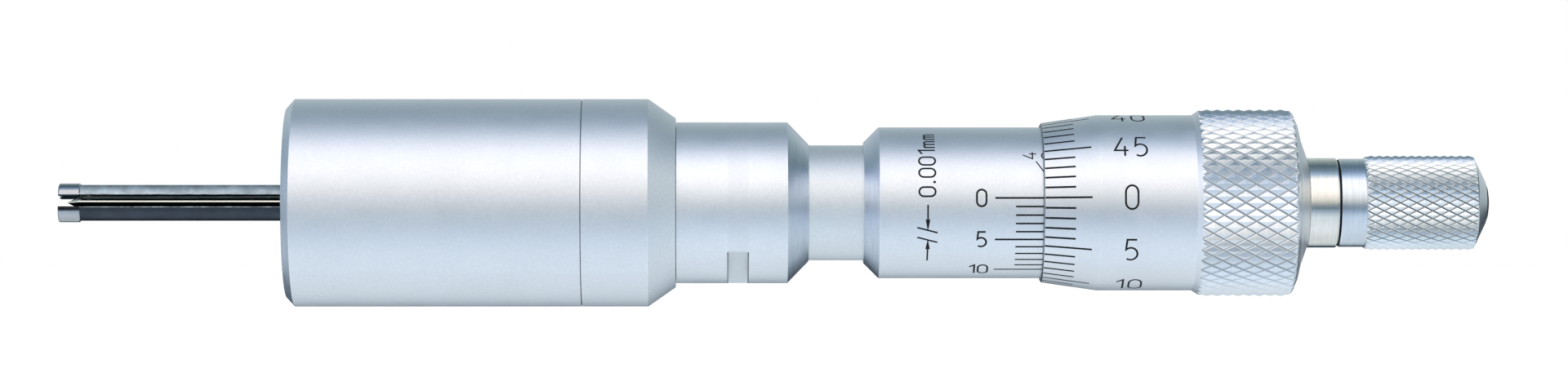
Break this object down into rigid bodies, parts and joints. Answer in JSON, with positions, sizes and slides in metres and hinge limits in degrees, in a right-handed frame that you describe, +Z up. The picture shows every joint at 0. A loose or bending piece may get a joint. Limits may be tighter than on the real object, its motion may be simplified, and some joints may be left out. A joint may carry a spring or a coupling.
{
  "type": "inside micrometer",
  "caption": "Two-point inside micrometer for small bores: split measuring arms spread by a cone, satin barrel, graduated vernier sleeve, knurled thimble and ratchet stop.",
  "frame": {"origin": "on the spindle axis, 19 mm behind the barrel's front face, at the middle of the barrel's clamping length", "axes": "+X along the spindle from the measuring jaws to the ratchet knob, +Z up, -Y towards the reading side with the scales"},
  "size_m": [0.1467, 0.0212, 0.0212],
  "materials": {
    "satin_chrome": "fine bead-blasted satin chrome plate on steel",
    "turned_steel": "turned and brushed",
    "polished_steel": "polished",
    "ground_steel": "hardened and ground",
    "carbide": "lapped carbide",
    "spring_steel": "spring steel",
    "black_screw": "blackened steel"
  },
  "bodies": {
    "barrel": {"front_shell": "satin_chrome", "rear_shell": "satin_chrome", "head_block": "turned_steel", "clamp_ring": "turned_steel", "upper_pivot_pin": "ground_steel", "lower_pivot_pin": "ground_steel", "upper_leaf_spring": "spring_steel", "lower_leaf_spring": "spring_steel", "guide_bush": "turned_steel", "return_spring": "spring_steel", "inner_body": "turned_steel", "coupling_collar": "turned_steel", "graduated_sleeve": "satin_chrome", "adjusting_nut": "turned_steel"},
    "upper_arm": {"upper_arm": "ground_steel", "upper_jaw": "carbide"},
    "lower_arm": {"lower_arm": "ground_steel", "lower_jaw": "carbide"},
    "needle": {"needle": "ground_steel", "plunger": "turned_steel"},
    "thimble": {"spindle": "turned_steel", "thimble": "satin_chrome", "ratchet_base": "polished_steel", "end_screw": "black_screw"},
    "ratchet": {"ratchet_knob": "turned_steel", "ratchet_disc": "turned_steel", "ratchet_spring": "spring_steel"}
  },
  "joints": [
    {"name": "needle_slide", "type": "slide", "parent": "barrel", "child": "needle", "axis": [1, 0, 0], "range_m": [0, 0.001]},
    {"name": "thimble_turn", "type": "hinge", "parent": "needle", "child": "thimble", "pos_m": [0.066, 0, 0], "axis": [1, 0, 0], "range_deg": [0, 720]},
    {"name": "ratchet_turn", "type": "hinge", "parent": "thimble", "child": "ratchet", "pos_m": [0.097, 0, 0], "axis": [1, 0, 0], "continuous": true},
    {"name": "upper_arm_swing", "type": "hinge", "parent": "barrel", "child": "upper_arm", "pos_m": [-0.007, 0.0003, 0.00167], "axis": [0, -0.9848, 0.1736], "range_deg": [0, 0.8368]},
    {"name": "lower_arm_swing", "type": "hinge", "parent": "barrel", "child": "lower_arm", "pos_m": [-0.007, -0.0003, -0.00167], "axis": [0, 0.9848, -0.1736], "range_deg": [0, 0.8368]}
  ],
  "couplings": [
    {"joint": "thimble_turn", "follows": "needle_slide", "rad_per_m": 12566},
    {"joint": "upper_arm_swing", "follows": "needle_slide", "rad_per_m": 14.605},
    {"joint": "lower_arm_swing", "follows": "needle_slide", "rad_per_m": 14.605}
  ]
}
